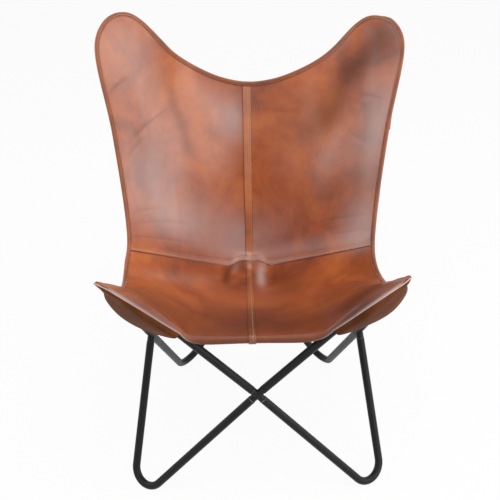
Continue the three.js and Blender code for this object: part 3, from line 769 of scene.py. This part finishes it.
painted_sheen_spots = (
    (-0.6, 0.605, 0.3, 0.05, 0.32), (-0.4, 0.645, 0.55, 0.07, 0.33), (-0.62, 0.79, 0.36, 0.11, 0.15),
    (-0.86, 0.7, 0.14, 0.07, 0.25), (-0.85, 0.92, 0.2, 0.08, 0.18), (-0.15, 0.905, 0.13, 0.06, 0.34),
    (-0.3, 0.95, 0.12, 0.04, 0.12), (-0.14, 0.59, 0.2, 0.04, 0.2), (0.15, 0.61, 0.2, 0.045, 0.2),
    (0.93, 0.745, 0.13, 0.085, 0.46), (0.92, 0.59, 0.16, 0.05, 0.46), (0.66, 0.745, 0.18, 0.04, 0.12),
    (0.1, 0.455, 0.04, 0.062, 0.62), (-0.62, 0.43, 0.3, 0.06, 0.16), (0.6, 0.565, 0.3, 0.022, 0.14),
    (-0.16, 0.563, 0.24, 0.028, 0.32), (0.26, 0.56, 0.24, 0.024, 0.32), (0.75, 0.55, 0.3, 0.016, 0.2),
    (-0.08, 0.915, 0.06, 0.05, 0.22), (-0.1, 0.625, 0.12, 0.04, 0.2), (0.9, 0.545, 0.12, 0.03, 0.2),
)


def soft_spots(spots, u, v):
    return sum(strong * np.exp(-((u - at_u) / wide) ** 2 - ((v - at_v) / long) ** 2)
               for at_u, at_v, wide, long, strong in spots)


def hide_stain_and_shade(u, v):
    """Painted shade in the grooves beside the hems and the strips' left edges, under the cross seam and in
    the creases, and soft spots of wax stain and painted shade on the hides.
    """
    a = np.abs(u)
    lines = [0.5 * np.exp(-((a - (1 - hem_step * 1.10)) / (hem_step * 0.13)) ** 2),
             0.5 * np.exp(-((v - (1 - top_hem_step * 1.10)) / (top_hem_step * 0.13)) ** 2),
             np.where(v > seam_at, 1, 0.2) * np.exp(-((u / strip_edge(v) + 1.04) / 0.12) ** 2),
             np.exp(-((v - seam_at + 0.001) / 0.0016) ** 2)]
    return np.clip(sum(lines) * 0.6 + soft_spots(stain_and_shade_spots, u, v) + crease_painted_shade(u, v), 0, 1)


def hide_painted_sheen(u, v):
    """Painted sheen: paler in soft spots where reflections and highlights fall, on the flank of the bump too.
    """
    return soft_spots(painted_sheen_spots, u, v)


roll_rows, seat_rows = 14, 190


def on_roll(u, y, lift=0.0):
    """A place on the turned-down front edge, from its lower lip at y 0 up to the seat at y 1."""
    a = np.abs(u)
    (r, degrees), (low_r, low_degrees) = ridge(a), brim(a)
    p = beside_edge(a, mixed(r, low_r, (1 - y) ** 2) + lift, mixed(low_degrees, degrees, y))
    return np.where((u < 0)[:, None], flip(p), p) + settled(u, 0.0)


def seat_spot(x, y, sign):
    """A spot's places across and along the sling, and how far up the turned-down front edge it is."""
    row = y * (roll_rows + seat_rows)
    u = sign * mixed(middle_step, 1, x if sign > 0 else 1 - x)
    v = np.clip((row - roll_rows) / seat_rows, 0, 1) * (seam_at - seam_step)
    return u, v, np.clip(row / roll_rows, 0, 1)


def seat_place(x, y, sign):
    u, v, turned = seat_spot(x, y, sign)
    return np.where((turned < 1)[:, None], on_roll(u, turned), hide_at(u, v))


# The hide's stains and painted shade, with more painted shade on the turned-down front edge in the middle.
def seat_stain_and_shade(x, y, sign):
    u, v, turned = seat_spot(x, y, sign)
    return np.clip(hide_stain_and_shade(u, v) + 0.3 * (1 - turned) * np.clip(1 - u ** 4, 0, 1), 0, 1)


# The hide's painted sheen, and a painted highlight along the lower lip of the front edge at the wings.
def seat_painted_sheen(x, y, sign):
    u, v, turned = seat_spot(x, y, sign)
    return hide_painted_sheen(u, v) + 0.75 * np.exp(-(turned / 0.10) ** 2) * np.clip((np.abs(u) - 0.3) / 0.25, 0, 1)


for side, sign in (("left", -1), ("right", 1)):
    seat = leather_sheet(
        side + "_seat_leather", 150, roll_rows + seat_rows, lambda x, y: seat_place(x, y, sign),
        leather_thick, lambda x, y: seat_stain_and_shade(x, y, sign), lambda x, y: seat_painted_sheen(x, y, sign))
    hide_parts(side + "_seat_panel", "front_edge_roll")

# Back leather: two more halves of the same hide, sewn to each other down the middle and to the seat below.
# It hangs from the back horns, and shallow creases run in from its side edges.
def back_spot(x, y, sign):
    return sign * mixed(middle_step, 1, x if sign > 0 else 1 - x), mixed(seam_at + seam_step, 1, y)


for side, sign in (("left", -1), ("right", 1)):
    back = leather_sheet(
        side + "_back_leather", 150, 200, lambda x, y: hide_at(*back_spot(x, y, sign)), leather_thick,
        lambda x, y: hide_stain_and_shade(*back_spot(x, y, sign)), lambda x, y: hide_painted_sheen(*back_spot(x, y, sign)))
    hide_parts(side + "_back_panel")

# Centre strips: thinner leather sewn over the middle seam, one strip down the back and one down the seat.
# Each lies flat on the hide, with painted shade along its left edge. The back's is held by two rows of
# stitches, and the seat's, which is narrower and turns down over the front edge, by one.
strip_thick = 0.0016
strip_lift = 0.0025
strip_round = 0.0006
thread_lift = strip_lift + 0.0006
back_rows_at = (0.66, 0.9)
lap_wide = 0.015
strip_gap = 0.001
lap_step = length_step(0.5, 0.6, lap_wide)
strip_end = length_step(0.5, 0.7, strip_gap)

waxed_thread, tree = new_material("waxed_thread")
twist = mottling(tree, 900.0, 2.0)
thread_tone = blended(tree, twist, (0.52, 0.29, 0.13, 1), (0.80, 0.56, 0.33, 1))
thread = put(tree, "ShaderNodeBsdfPrincipled", {"Base Color": thread_tone, "Roughness": 0.55})
put(tree, "ShaderNodeOutputMaterial", {"Surface": thread.outputs[0]})

strip_hide = leather_finish("lighter_strip_leather", (0.240, 0.056, 0.010), (0.460, 0.122, 0.024),
                            (0.620, 0.205, 0.050), (0.40, 0.52), 0.5, 1.0)


def stitches(name, *rows, pitch=0.0045, long=0.0031, wide=0.0013):
    """Rows of stitches: each row is its points and the way that the hide faces at each of them."""
    whole = bmesh.new()
    for points, faces in rows:
        run = running(points)
        marks = np.arange(pitch / 2, run[-1] - pitch / 2, pitch)
        for some in np.array_split(marks, len(marks) // 30 + 1):
            bm = bmesh.new()
            for at in some:
                p, n = on_line(points, run, at), unit(on_line(faces, run, at))
                d = on_line(points, run, at + pitch / 4) - on_line(points, run, at - pitch / 4)
                d = unit(d - n * (d @ n))
                turned = Matrix((np.cross(d, n) * wide / 2, n * wide / 2, d * long / 2)).transposed().to_4x4()
                bmesh.ops.create_uvsphere(bm, u_segments=6, v_segments=5, radius=1,
                                          matrix=Matrix.Translation(p) @ turned)
            bmesh.ops.recalc_face_normals(bm, faces=bm.faces[:])
            sewn = bpy.data.meshes.new(name)
            bm.to_mesh(sewn)
            bm.free()
            whole.from_mesh(sewn)
            bpy.data.meshes.remove(sewn)
    row = mesh_piece(name, whole, waxed_thread)
    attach(row, "root")
    return row


def over_hide(u, v, lift):
    u, v = np.broadcast_arrays(np.asarray(u, float), np.asarray(v, float))
    n = facing_sitter(u, v)
    return hide_at(u, v) + n * np.broadcast_to(lift, u.shape)[:, None], n


def strip_profile(x):
    """The strip stands off the hide, and sinks a little under the two rows of stitches of the back's."""
    return strip_lift - sum(0.0004 * np.exp(-((x - row) / 0.05) ** 2) for row in back_rows_at)


# Painted shade along the strip's left edge, less along its right edge and under the first row of stitches.
def strip_painted_shade(x, _y):
    return np.clip(0.9 * np.exp(-(x / 0.05) ** 2) + 0.25 * np.exp(-((x - 1) / 0.04) ** 2)
                   + 0.2 * np.exp(-((x - back_rows_at[0]) / 0.03) ** 2), 0, 1)


back_from, back_to = seam_at + lap_step + strip_end, 1 - top_hem_step - strip_end


def back_strip_place(x, y):
    v = mixed(back_from, back_to, y)
    return over_hide(strip_edge(v) * mixed(-1, 1, x), v, strip_profile(x))[0]


# The back strip gets a little painted sheen all over, more towards its lower end.
back_strip = leather_sheet(
    "back_centre_strip_leather", 14, 240, back_strip_place, strip_thick, strip_painted_shade,
    lambda x, y: 0.05 + 0.15 * np.exp(-(y / 0.15) ** 2), edge_round=strip_round, finish=strip_hide)
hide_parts("back_centre_strip")
up_back = np.linspace(back_from + 0.002, back_to - 0.002, 300)
back_sewn = stitches("back_centre_strip_stitches", *[
    over_hide(strip_edge(up_back) * mixed(-1, 1, x), up_back, thread_lift) for x in back_rows_at])

strip_roll_rows, strip_seat_rows = 12, 220
seat_strip_share = 0.8
seat_row_at = 0.62


def seat_strip_place(x, y, lift=None):
    row = y * (strip_roll_rows + strip_seat_rows)
    v = np.clip((row - strip_roll_rows) / strip_seat_rows, 0, 1) * (seam_at - seam_step)
    u = seat_strip_share * strip_edge(v) * mixed(-1, 1, x)
    raised = strip_profile(x) if lift is None else lift
    on_seat, _n = over_hide(u, v, raised)
    on_edge = on_roll(u, np.clip(row / strip_roll_rows, 0, 1), raised)
    return np.where((row < strip_roll_rows)[:, None], on_edge, on_seat)


# A little darker all over, with the hide's stains and painted shade, and more painted shade along the strip's
# left edge.
def seat_strip_stain_and_shade(x, y):
    turned = strip_roll_rows / strip_seat_rows
    v = np.clip(y * (1 + turned) - turned, 0, 1) * seam_at
    return np.clip(0.1 + hide_stain_and_shade(0.05 + 0 * x, v) + 0.2 * np.exp(-(x / 0.06) ** 2), 0, 1)


seat_strip = leather_sheet(
    "seat_centre_strip_leather", 14, strip_roll_rows + strip_seat_rows, seat_strip_place, strip_thick,
    seat_strip_stain_and_shade, edge_round=strip_round, finish=strip_hide)
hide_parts("seat_centre_strip")
up_seat = np.linspace(0.02, 0.995, 400)
row_at = np.full(400, seat_row_at)
seat_row = seat_strip_place(row_at, up_seat, thread_lift)
under_row = seat_strip_place(row_at, up_seat, strip_lift - 0.0006)
seat_sewn = stitches("seat_centre_strip_stitches", (seat_row, unit(seat_row - under_row)), wide=0.0010)

# Cross seam: the back leather's lower edge is folded and lapped over the seat leather, above the rear cross.
# One row of pale stitches runs close above the fold.
lap_end = 1 - hem_step - width_step(1, 0.75, strip_gap)
lap_row_at = 0.36
above_lap = 0.562


def lap_place(x, y):
    return over_hide(mixed(-lap_end, lap_end, x), mixed(seam_at + seam_step, seam_at + lap_step, y),
                     strip_lift - 0.0005 * y)[0]


# Painted shade along the fold of the lap, and a little along its upper edge.
def lap_painted_shade(_x, y):
    return 0.8 * np.exp(-(y / 0.06) ** 2) + 0.15 * np.exp(-((y - 1) / 0.1) ** 2)


# Painted sheen along the lap, from the band of painted sheen just above the seam.
def lap_painted_sheen(x, _y):
    return 0.8 * hide_painted_sheen(mixed(-lap_end, lap_end, x), above_lap)


lap = leather_sheet("cross_seam_lap", 320, 10, lap_place, strip_thick, lap_painted_shade, lap_painted_sheen,
                    edge_round=strip_round)
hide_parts("cross_seam_strip")
across = np.linspace(-lap_end, lap_end, 600)
lap_sewn = stitches("cross_seam_stitches",
                    over_hide(across, seam_at + lap_step * lap_row_at + 0 * across, thread_lift),
                    pitch=0.006, long=0.0038, wide=0.0018)

# Edge hem: the leather is turned over along both sides and the top, as one rounded rim, and sewn down.
# A row of stitches runs along its inner edge, in a groove darkened with painted shade.
# Its section is given as places out from the edge and up from the hide, in millimetres.
hem_thick = 0.0016
hem_row_in = 0.0062
hem_row_lift = 0.0033
hem_section = np.array(((-8.0, 1.7), (-7.4, 2.3), (-6.2, 2.45), (-5.0, 3.0), (-3.2, 3.25), (-1.3, 2.95),
                        (0.1, 2.15), (1.05, 0.7), (1.25, -0.9), (1.1, -2.3))) / 1000
grid = bmesh.new()
bmesh.ops.create_grid(grid, x_segments=200, y_segments=300, size=1)
spots = np.array([v.co[:2] for v in grid.verts])
for v, p in zip(grid.verts, sling(spots[:, 0], (spots[:, 1] + 1) / 2)):
    v.co = p
hide_tree = BVHTree.FromBMesh(grid)
grid.free()

side_up, over_top = np.linspace(0.004, 1, 500), np.linspace(1, -1, 900)
rim_u = np.concatenate([0 * side_up + 1, over_top[1:-1], 0 * side_up - 1])
rim_v = np.concatenate([side_up, 0 * over_top[1:-1] + 1, side_up[::-1]])
rim_points = sling(rim_u, rim_v)
rim_faces = facing_sitter(np.clip(rim_u, -0.975, 0.975), np.clip(rim_v, 0, 0.985))
rim_length = running(rim_points)
even = np.linspace(0, rim_length[-1], 1101)
rim_points, rim_faces = on_line(rim_points, rim_length, even), unit(on_line(rim_faces, rim_length, even))
smoothing = np.hanning(27) / np.hanning(27).sum()
padded_faces = np.vstack([rim_faces[:1]] * 13 + [rim_faces] + [rim_faces[-1:]] * 13)
rim_faces = unit(np.stack([np.convolve(padded_faces[:, k], smoothing, "valid") for k in range(3)], -1))
rim_out = unit(np.cross(unit(np.gradient(rim_points, axis=0)), rim_faces))


def rim_place(way, out, lift):
    p, n = on_line(rim_points, even, way), unit(on_line(rim_faces, even, way))
    spot = p + unit(on_line(rim_out, even, way)) * np.asarray(out)[..., None]
    for i in np.flatnonzero(np.asarray(out) < 0):
        near, _facing, _face, _far = hide_tree.find_nearest(Vector(spot[i]))
        depth = (np.array(near) - spot[i]) @ n[i]
        spot[i] = spot[i] + n[i] * depth
    return spot + n * np.asarray(lift)[..., None], n


def hem_place(x, y):
    k = x * (len(hem_section) - 1)
    out = np.interp(k, np.arange(len(hem_section)), hem_section[:, 0])
    lift = np.interp(k, np.arange(len(hem_section)), hem_section[:, 1])
    return rim_place(y * even[-1], out, lift)[0]


# The hem is darker all over, with a line of painted shade in its groove.
def hem_stain_and_shade(x, _y):
    return 0.48 + 0.5 * np.exp(-((x - 0.20) / 0.08) ** 2)


# A painted highlight along the hem's inner edge.
def hem_painted_highlight(x, _y):
    return 0.4 * np.exp(-(x / 0.06) ** 2)


hem = leather_sheet("edge_hem_leather", 18, 1100, hem_place, hem_thick, hem_stain_and_shade, hem_painted_highlight,
                    edge_round=strip_round)
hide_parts("left_edge_hem", "right_edge_hem", "top_edge_hem")
round_rim = np.linspace(0.004, even[-1] - 0.004, 1600)
hem_row = rim_place(round_rim, 0 * round_rim - hem_row_in, 0 * round_rim + hem_row_lift)
hem_sewn = stitches("edge_hem_stitches", hem_row)

# Front pockets: plainer, unpolished leather, darkened with painted shade, under each wing tip, sewn to the
# front and side edges.
# The horn's bend sits in the pocket, which hangs slack below both runs of the tube.
right_slack, left_slack = 0.015, 0.011
front_pocket_gap = 0.0011
# Matte leather whose colour is darker than the hide's, partly its own tone, partly painted shade.
pocket_hide_with_painted_shade = leather_finish("matte_pocket_leather_with_painted_shade", (0.070, 0.019, 0.006), (0.130, 0.038, 0.012),
                             (0.200, 0.068, 0.024), (0.65, 0.80), 0.08, 0.0)


def under_hide(u, v, gap, sign):
    """A place under the leather of one side, turned over to the right side, where pockets are laid out."""
    n = facing_sitter(sign * np.minimum(u, 0.996), np.clip(v, 0.004, 0.996))
    p = sling(sign * u, v) - n * (leather_thick + gap)
    return p if sign > 0 else flip(p)


def front_pocket_stops(t, sign):
    u, close = mixed(1, leave_share, t), np.sqrt(t)
    slack = (right_slack if sign > 0 else left_slack) * np.sin(np.pi * t ** 1.1)
    tip_slid = np.array((sign, 1, 1))
    brim_r, brim_degrees = brim(u)
    below_r, below_degrees = mixed(0.018, 0.0138, close) + slack / 2, mixed(-38, -95, close)
    stops = [
        beside_edge(u, brim_r - 0.0012, brim_degrees + 6) + settled(sign * u, 0.0) * tip_slid,
        beside_edge(u, (brim_r + below_r) / 2, (brim_degrees + below_degrees) / 2),
        beside_edge(u, below_r, below_degrees),
        front_horn.beside(mixed(1.74, 2.60, t), mixed(0.016, 0.0138, close) + slack * 0.8,
                          mixed(-40, -95, close)),
        front_horn.beside(mixed(1.75, 2.63, t), mixed(0.015, 0.014, close) + slack, mixed(-34, -40, t)),
        front_horn.beside(mixed(1.76, 2.65, t), mixed(0.013, 0.014, close) + slack / 2, mixed(-20, 25, t)),
        under_hide(np.full_like(t, 0.988), mixed(0.01, 0.38, t), front_pocket_gap, sign),
    ]
    tip = (beside_edge(np.ones(1), tip_reach + roll_radius - 0.003, np.array([-12.0]))
           + settled(sign * np.ones(1), 0.0) * tip_slid)
    return [mixed(tip, stop, np.sqrt(np.clip(t / 0.08, 0, 1))[:, None]) for stop in stops]


def pocket_sheet(name, stops, first, sign):
    """A pocket from its sections: t runs from the tip to the mouth, and each section from edge to edge."""
    def lay(x, y):
        across = np.round(x if sign < 0 else 1 - x, 6)
        ways, place_of = np.unique(np.round(y, 6), return_inverse=True)
        sections = np.unique(across)
        table = smooth_curve(stops(mixed(first, 1, ways), sign), sections)
        p = table[np.searchsorted(sections, across), place_of]
        return p if sign > 0 else flip(p)

    return leather_sheet(name, 90, 70, lay, leather_thick, finish=pocket_hide_with_painted_shade)


for side, sign in (("left", -1), ("right", 1)):
    pocket = pocket_sheet("front_" + side + "_pocket_leather", front_pocket_stops, 0.004, sign)
    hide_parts("front_" + side + "_pocket")

# Rear pockets: the same under each top corner, drawn tight over the back horns.
# The sling is pushed up over the horns' tips into them, and hangs there by its own weight.
rear_pocket_gap = 0.0005


def rear_pocket_stops(t, sign):
    inner, outer = mixed(1.495, 0.74, t), mixed(1.505, 2.3, t)
    loose = mixed(0.0112, 0.0134, np.sqrt(t))
    return [
        under_hide(mixed(0.9775, 0.62, t), np.full_like(t, 0.981), rear_pocket_gap, sign),
        back_horn.beside(inner, loose, -20),
        back_horn.beside(inner, loose, -90),
        back_horn.beside(outer, loose, -90),
        back_horn.beside(outer, loose, -25),
        under_hide(mixed(0.9785, 0.955, t), mixed(0.979, 0.78, t), rear_pocket_gap, sign),
    ]


for side, sign in (("left", -1), ("right", 1)):
    pocket = pocket_sheet("rear_" + side + "_pocket_leather", rear_pocket_stops, 0.0, sign)
    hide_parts("rear_" + side + "_pocket")
